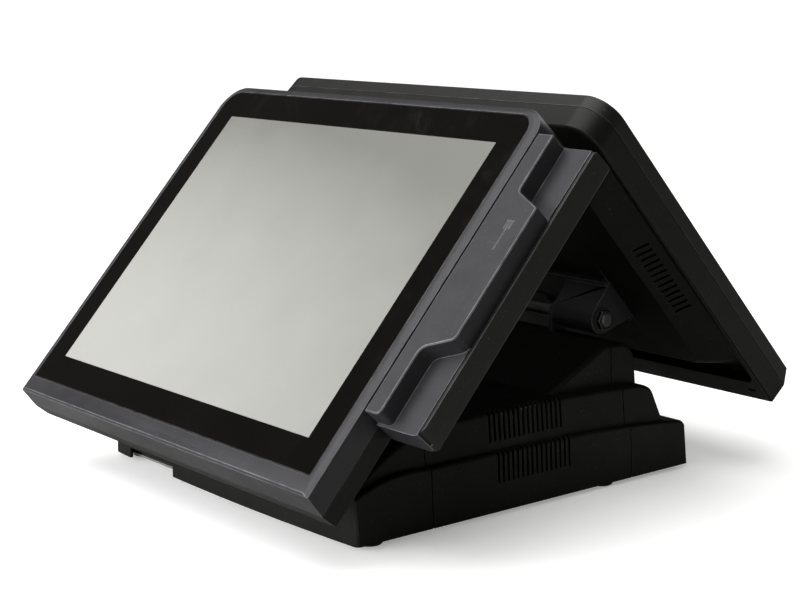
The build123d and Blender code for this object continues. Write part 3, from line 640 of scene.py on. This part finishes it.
def set_piece(
    bm: bmesh.types.BMesh,
    name: str,
    body: Body,
    materials: Iterable[bpy.types.Material],
    stands_for: Sequence[str] = (),
    smooth: float = 32.0,
) -> bpy.types.Object:
    """Turns a bmesh into a piece of the terminal.

    Args:
        bm: The mesh, in the frame. It is freed.
        name: The piece's name.
        body: The body that it rides on.
        materials: Its materials, in the order of the faces' indices.
        stands_for: The CAD nodes that it replaces.
        smooth: Edges sharper than this many degrees stay sharp.

    Returns:
        The new object.
    """
    mesh = bpy.data.meshes.new(name)
    bm.to_mesh(mesh)
    bm.free()
    for material in materials:
        mesh.materials.append(material)
    mesh.shade_smooth()
    mesh.set_sharp_from_angle(angle=radians(smooth))
    piece = bpy.data.objects.new(name, mesh)
    bpy.context.scene.collection.objects.link(piece)
    even = piece.modifiers.new("even_shading", "WEIGHTED_NORMAL")
    even.keep_sharp = True
    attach(piece, body.value)
    if stands_for:
        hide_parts(*stands_for)
    LOG.info("piece %s: %d faces", name, len(mesh.polygons))
    return piece


@dataclass
class Shell:
    """A CAD piece with its edges broken, as it comes out of its mould or off its machine.

    width is the rounding in millimetres, finish names the material where it isn't the slot's own, and
    edges of more than sharper degrees are rounded.
    """

    node: str
    body: Body
    slot: str
    width: float = 0.35
    finish: str = ""
    sharper: float = 28.0

    def build(self, palette: Palette) -> bpy.types.Object:
        """Makes the piece that stands for the node."""
        bm = cad_solid(self.node)
        break_edges(bm, self.width, self.sharper)
        material = palette[self.finish or self.slot]
        return set_piece(bm, self.node + "_piece", self.body, [material], [self.node])


@dataclass
class Screw:
    """A pan head screw with a cross recess, in millimetres.

    steps are the rises up the head, as shares of its height, and its radius after each one. The cross
    is measured in shares of the head's radius, and its depth in shares of the height.
    """

    radius: float
    height: float
    sides: int = 24
    steps: Sequence[tuple[float, float]] = ((0.55, 1.0), (0.3, 0.93), (0.15, 0.74))
    cross_reach: float = 0.52
    cross_half_width: float = 0.13
    cross_depth: float = 0.6
    cross_wear: float = 0.7

    def add_to(self, bm: bmesh.types.BMesh, place: Matrix) -> None:
        """Adds the head to a mesh.

        Args:
            bm: The mesh.
            place: Takes the head from its own millimetres, its seat at the origin and +Z out, to the frame.
        """
        head = bmesh.new()
        band = head.loops.layers.float.new(EDGE_BAND)
        bmesh.ops.create_circle(head, radius=self.radius, segments=self.sides)
        ring = list(head.edges)
        for rise, spread in self.steps:
            grown = bmesh.ops.extrude_edge_only(head, edges=ring)["geom"]
            points = [item for item in grown if isinstance(item, bmesh.types.BMVert)]
            ring = [
                item for item in grown
                if isinstance(item, bmesh.types.BMEdge) and all(vert in points for vert in item.verts)
            ]
            bmesh.ops.translate(head, verts=points, vec=(0, 0, rise * self.height))
            scale = spread * self.radius / points[0].co.xy.length
            bmesh.ops.scale(head, verts=points, vec=(scale, scale, 1.0))
        long, wide = self.cross_reach * self.radius, self.cross_half_width * self.radius
        outline = []
        for turn in range(4):
            spin = Matrix.Rotation(turn * pi / 2, 4, "Z")
            for x, y in ((long, -wide), (long, wide), (wide, wide)):
                outline.append(head.verts.new(spin @ Vector((x, y, self.height))))
        slot = [head.edges.new(pair) for pair in zip(outline, outline[1:] + outline[:1])]
        bmesh.ops.bridge_loops(head, edges=ring + slot)
        deeper = bmesh.ops.extrude_edge_only(head, edges=slot)["geom"]
        floor = [item for item in deeper if isinstance(item, bmesh.types.BMVert)]
        bmesh.ops.translate(head, verts=floor, vec=(0, 0, -self.cross_depth * self.height))
        bmesh.ops.holes_fill(head, edges=head.edges, sides=0)
        bmesh.ops.recalc_face_normals(head, faces=head.faces)
        for face in head.faces:
            near_slot = any(vert in outline for vert in face.verts)
            for loop in face.loops:
                loop[band] = self.cross_wear if near_slot else 0.0
        bmesh.ops.transform(head, matrix=place, verts=head.verts)
        mesh = bpy.data.meshes.new("screw_head")
        head.to_mesh(mesh)
        head.free()
        bm.from_mesh(mesh)
        bpy.data.meshes.remove(mesh)


def screw_row(
    name: str, node: str, body: Body, palette: Palette, screw: Screw, places: Iterable[Matrix]
) -> bpy.types.Object:
    """A group of screws that stands for a CAD node.

    Args:
        name: The piece's name.
        node: The CAD node.
        body: The body that they ride on.
        palette: The finishes.
        screw: The screw's form.
        places: One transform for each screw.

    Returns:
        The new object.
    """
    bm = bmesh.new()
    bm.loops.layers.float.new(EDGE_BAND)
    for place in places:
        screw.add_to(bm, place)
    return set_piece(bm, name, body, [palette["screw_steel"]], [node])


# ---------------------------------------------------------------------------- sub-assemblies
@dataclass
class Display:
    """One display: its glass with the picture area let in, its housings, arms and what is inside.

    window_low is the height of the picture's foot. A row of screws has its spots, as x and the height up
    the glass, and the depth of the heads' seats behind the glass.
    """

    key: str
    body: Body
    place: DisplayPlace
    glass_node: str
    window_low: float
    film: str
    bezel_finish: str
    board_node: str
    cover_spots: Sequence[tuple[float, float]]
    cover_depth: float
    arm_spots: Sequence[tuple[float, float]]
    arm_depth: float
    screw: Screw = field(default_factory=lambda: Screw(2.8, 1.4))

    def glass(self, palette: Palette) -> bpy.types.Object:
        """The cover glass: black round the border, clear over the picture."""
        bm = cad_solid(self.glass_node)
        break_edges(bm, 0.35, segments=3)
        limits = (
            ((1, 0, 0), (-ACTIVE_HALF_W, 0, 0)),
            ((1, 0, 0), (ACTIVE_HALF_W, 0, 0)),
            ((0, 1, 0), (0, self.window_low, 0)),
            ((0, 1, 0), (0, self.window_low + ACTIVE_H, 0)),
        )
        for direction, point in limits:
            bmesh.ops.bisect_plane(
                bm, geom=[*bm.verts, *bm.edges, *bm.faces], dist=1e-6,
                plane_co=self.place.point(*point), plane_no=self.place.axis(direction),
            )
        inward = self.place.matrix().inverted()
        normal = self.place.axis((0, 0, 1))
        for face in bm.faces:
            centre = inward @ face.calc_center_median()
            inside = abs(centre.x) < ACTIVE_HALF_W and 0 < centre.y - self.window_low < ACTIVE_H
            if inside and face.normal.dot(normal) > 0.9:
                face.material_index = 1
        materials = [palette["display_glass"], palette[self.film]]
        name = self.glass_node + "_piece"
        return set_piece(bm, name, self.body, materials, [self.glass_node])

    def screw_places(self, spots: Sequence[tuple[float, float]], depth: float) -> list[Matrix]:
        """The transforms of screws whose heads face away from the glass."""
        return [self.place.matrix() @ Matrix.Translation((x, s, -depth)) @ FLIP for x, s in spots]

    def build(self, palette: Palette) -> None:
        """Makes every piece of the display."""
        self.glass(palette)
        shells = [
            Shell(f"{self.key}_bezel_housing", self.body, "housing_plastic", 0.4, self.bezel_finish),
            Shell(f"{self.key}_rear_cover", self.body, "housing_plastic", 0.4),
            Shell(f"{self.key}_hinge_arms", self.body, "hinge_steel", 0.6),
            Shell(f"{self.key}_lcd_panel", self.body, "lcd", 0.3, "metal_case"),
            Shell(f"{self.key}_chassis_plate", self.body, "steel_plate", 0.2),
            Shell(self.board_node, self.body, "board", 0.12),
        ]
        for shell in shells:
            shell.build(palette)
        rows = (("cover", self.cover_spots, self.cover_depth), ("arm", self.arm_spots, self.arm_depth))
        for kind, spots, depth in rows:
            node = f"{self.key}_{kind}_screws"
            places = self.screw_places(spots, depth)
            screw_row(node + "_piece", node, self.body, palette, self.screw, places)


@dataclass
class CardReader:
    """The magnetic card reader on the operator's right, with the seats of its screws behind the glass."""

    body: Body = Body.OPERATOR
    seat: float = 35.5
    screw_x: Sequence[float] = (160.0, 204.0)
    screw_heights: Sequence[float] = (67.0, 199.0)
    screw: Screw = field(default_factory=lambda: Screw(3.0, 1.6))

    def build(self, palette: Palette) -> None:
        """Makes every piece of the reader."""
        shells = [
            Shell("reader_inner_housing", self.body, "textured_plastic", 0.35, sharper=24.0),
            Shell("reader_outer_housing", self.body, "housing_plastic", 0.4, "frame_plastic"),
            Shell("magnetic_head", Body.HEAD, "metal_case", 0.15),
            Shell("head_spring", self.body, "shaft_steel", 0.08),
            Shell("reader_board", self.body, "board", 0.1),
            Shell("reader_bracket", self.body, "hinge_steel", 0.25),
        ]
        for shell in shells:
            shell.build(palette)
        places = [
            OPERATOR.matrix() @ Matrix.Translation((x, s, -self.seat)) @ FLIP
            for x in self.screw_x
            for s in self.screw_heights
        ]
        screw_row("reader_screws_piece", "reader_screws", self.body, palette, self.screw, places)


@dataclass
class Base:
    """The stepped base: housings, plate, feet, hinge frame and the works inside."""

    body: Body = Body.BASE
    screw_x: Sequence[float] = (-139.5, 139.5)
    screw_y: Sequence[float] = (-72.0, 121.0)
    screw: Screw = field(default_factory=lambda: Screw(3.0, 1.6))

    def build(self, palette: Palette) -> None:
        """Makes every piece of the base."""
        shells = [
            Shell("base_front_cover", self.body, "housing_plastic", 0.4),
            Shell("base_middle_housing", self.body, "housing_plastic", 0.3),
            Shell("base_rear_cover", self.body, "housing_plastic", 0.4),
            Shell("base_plate", self.body, "steel_plate", 0.25),
            Shell("rubber_feet", self.body, "foot_rubber", 0.3),
            Shell("board_standoffs", self.body, "shaft_steel", 0.3),
            Shell("hinge_frame", self.body, "hinge_steel", 0.4),
            Shell("mainboard", self.body, "board", 0.15),
            Shell("processor", self.body, "chip", 0.2),
            Shell("heat_sink", self.body, "heat_sink_alloy", 0.2),
            Shell("memory_module", self.body, "board", 0.15),
            Shell("solid_state_drive", self.body, "metal_case", 0.35),
            Shell("power_supply", self.body, "metal_case", 0.5),
            Shell("loudspeaker", self.body, "speaker_cone", 0.4),
            Shell("io_connectors", self.body, "metal_case", 0.2),
            Shell("power_inlet", self.body, "chip", 0.25),
            Shell("power_switch", self.body, "chip", 0.3),
            Shell("power_button", Body.BUTTON, "housing_plastic", 0.3, "bezel_plastic"),
        ]
        for side in ("operator", "customer"):
            shells += [
                Shell(f"{side}_hinge_shaft", self.body, "shaft_steel", 0.3),
                Shell(f"{side}_friction_washers", self.body, "shaft_steel", 0.15),
                Shell(f"{side}_torque_nuts", self.body, "screw_steel", 0.4),
            ]
        for shell in shells:
            shell.build(palette)
        places = [
            Matrix.Scale(MM, 4) @ Matrix.Translation((x, y, 0)) @ FLIP
            for x in self.screw_x
            for y in self.screw_y
        ]
        screw_row("base_screws_piece", "base_screws", self.body, palette, self.screw, places)


# ---------------------------------------------------------------------------- studio
@dataclass(frozen=True)
class Softbox:
    """A soft rectangular light: where it hangs, the point it faces, its size and its power in watts."""

    name: str
    at: tuple[float, float, float]
    aim: tuple[float, float, float]
    size: tuple[float, float]
    power: float

    def hang(self) -> None:
        """Makes the light."""
        data = bpy.data.lights.new(self.name, "AREA")
        data.shape = "RECTANGLE"
        data.size, data.size_y = self.size
        data.energy = self.power
        light = bpy.data.objects.new(self.name, data)
        light.location = self.at
        light.rotation_mode = "QUATERNION"
        light.rotation_quaternion = (Vector(self.aim) - Vector(self.at)).to_track_quat("-Z", "Y")
        bpy.context.scene.collection.objects.link(light)


@dataclass
class Studio:
    """The floor, the soft lights and the camera."""

    azimuth: float = 0.8836225824
    elevation: float = 0.1790387467
    camera_at: tuple[float, float, float] = (0.95642, -0.75180, 0.34402)
    lens: float = 76.25
    sensor: float = 36.0
    floor_half: float = 40.0
    sun_power: float = 2.6
    sun_spread: float = 70.0
    sun_lean: tuple[float, float] = (14.0, -10.0)
    softboxes: Sequence[Softbox] = (
        Softbox("key", (-0.95, -1.9, 1.0), (0, -0.05, 0.12), (1.0, 0.8), 22.0),
        Softbox("front_top", (0.35, -1.35, 2.0), (0.05, 0, 0.15), (0.9, 0.6), 5.0),
        Softbox("corner", (1.35, -0.75, 1.75), (0.1, 0, 0.2), (0.5, 0.5), 3.5),
        Softbox("front_low", (-0.05, -1.6, 0.4), (0.05, -0.05, 0.08), (1.2, 0.5), 22.0),
        Softbox("back", (-0.6, 1.7, 0.95), (0, 0.1, 0.2), (1.1, 0.5), 7.0),
    )

    def floor(self) -> None:
        """A wide pale floor under the feet."""
        bm = bmesh.new()
        bmesh.ops.create_grid(bm, x_segments=4, y_segments=4, size=self.floor_half)
        bmesh.ops.translate(bm, verts=bm.verts, vec=(0, 0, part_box("rubber_feet")[0].z))
        mesh = bpy.data.meshes.new("floor")
        bm.to_mesh(mesh)
        bm.free()
        material, sheet, shader = new_material("pale_floor")
        where = sheet.add("TexCoord").outputs["Object"]
        cloud = sheet.add("TexNoise", Vector=where, Scale=2.0, Detail=2.0)
        pale = sheet.blend(cloud.outputs["Fac"], (0.92, 0.92, 0.92), (0.95, 0.95, 0.95))
        seen = sheet.add("LightPath").outputs["Is Camera Ray"]
        sheet.put(shader, "Base Color", sheet.blend(seen, (0.36, 0.36, 0.35), pale))
        sheet.put(shader, "Emission Color", sheet.blend(seen, (0.0, 0.0, 0.0), (0.3, 0.3, 0.3)))
        shader.inputs["Emission Strength"].default_value = 1.0
        shader.inputs["Roughness"].default_value = 0.9
        shader.inputs["Specular IOR Level"].default_value = 0.1
        mesh.materials.append(material)
        floor = bpy.data.objects.new("floor", mesh)
        bpy.context.scene.collection.objects.link(floor)

    def sky(self) -> None:
        """A white surround behind, and a dim one in the reflections."""
        world = bpy.data.worlds.new("surround")
        world.use_nodes = True
        world.node_tree.nodes.clear()
        sheet = Sheet(world.node_tree)
        seen = sheet.add("LightPath").outputs["Is Camera Ray"]
        colour = sheet.blend(seen, (0.08, 0.076, 0.066), (1.3, 1.3, 1.3))
        ground = sheet.add("Background", Color=colour, Strength=1.0)
        sheet.put(sheet.add("OutputWorld"), "Surface", ground.outputs["Background"])
        bpy.context.scene.world = world

    def sun(self) -> None:
        """Wide soft light from above, even over the whole floor."""
        data = bpy.data.lights.new("sun", "SUN")
        data.energy, data.angle = self.sun_power, radians(self.sun_spread)
        light = bpy.data.objects.new("sun", data)
        light.rotation_euler = (radians(self.sun_lean[0]), radians(self.sun_lean[1]), 0)
        bpy.context.scene.collection.objects.link(light)

    def camera(self) -> None:
        """The camera, level, at its place and lens."""
        level = cos(self.elevation)
        right = Vector((cos(self.azimuth), sin(self.azimuth), 0))
        back = Vector((sin(self.azimuth) * level, -cos(self.azimuth) * level, sin(self.elevation)))
        turn = Matrix((right, back.cross(right), back)).transposed()
        data = bpy.data.cameras.new("view")
        data.lens, data.sensor_width = self.lens, self.sensor
        camera = bpy.data.objects.new("view", data)
        camera.rotation_mode = "QUATERNION"
        camera.rotation_quaternion = turn.to_quaternion()
        camera.location = self.camera_at
        bpy.context.scene.collection.objects.link(camera)
        bpy.context.scene.camera = camera

    def build(self) -> None:
        """Sets up the whole studio."""
        bpy.context.scene.view_settings.view_transform = "Standard"
        self.floor()
        self.sky()
        self.camera()
        self.sun()
        for softbox in self.softboxes:
            softbox.hang()
        LOG.info("studio ready")


# ---------------------------------------------------------------------------- the whole terminal
ARM_SCREW_X = (-48.0, -26.0, 26.0, 48.0)


def displays() -> list[Display]:
    """The operator's and the customer's displays."""
    operator = Display(
        key="operator",
        body=Body.OPERATOR,
        place=OPERATOR,
        glass_node="operator_touch_glass",
        window_low=0.0,
        film="operator_film",
        bezel_finish="bezel_plastic",
        board_node="operator_touch_board",
        cover_spots=[(x, s) for x in (-166.0, 166.0) for s in (10.0, 120.0, 226.0)],
        cover_depth=33.5,
        arm_spots=[(x, 68.0) for x in ARM_SCREW_X],
        arm_depth=56.0,
    )
    customer = Display(
        key="customer",
        body=Body.CUSTOMER,
        place=CUSTOMER,
        glass_node="customer_display_glass",
        window_low=33.0,
        film="customer_film",
        bezel_finish="frame_plastic",
        board_node="customer_panel_board",
        cover_spots=[(x, s) for x in (-170.5, 170.5) for s in (40.0, 134.0, 226.0)],
        cover_depth=22.0,
        arm_spots=[(x, 96.0) for x in ARM_SCREW_X],
        arm_depth=44.0,
    )
    return [operator, customer]


def main() -> None:
    """Builds the terminal and its studio."""
    logging.basicConfig(level=logging.INFO, format="%(name)s: %(message)s")
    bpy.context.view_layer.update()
    Studio().build()
    palette = Palette().build()
    Base().build(palette)
    for display in displays():
        display.build(palette)
    CardReader().build(palette)


if __name__ == "__main__":
    main()
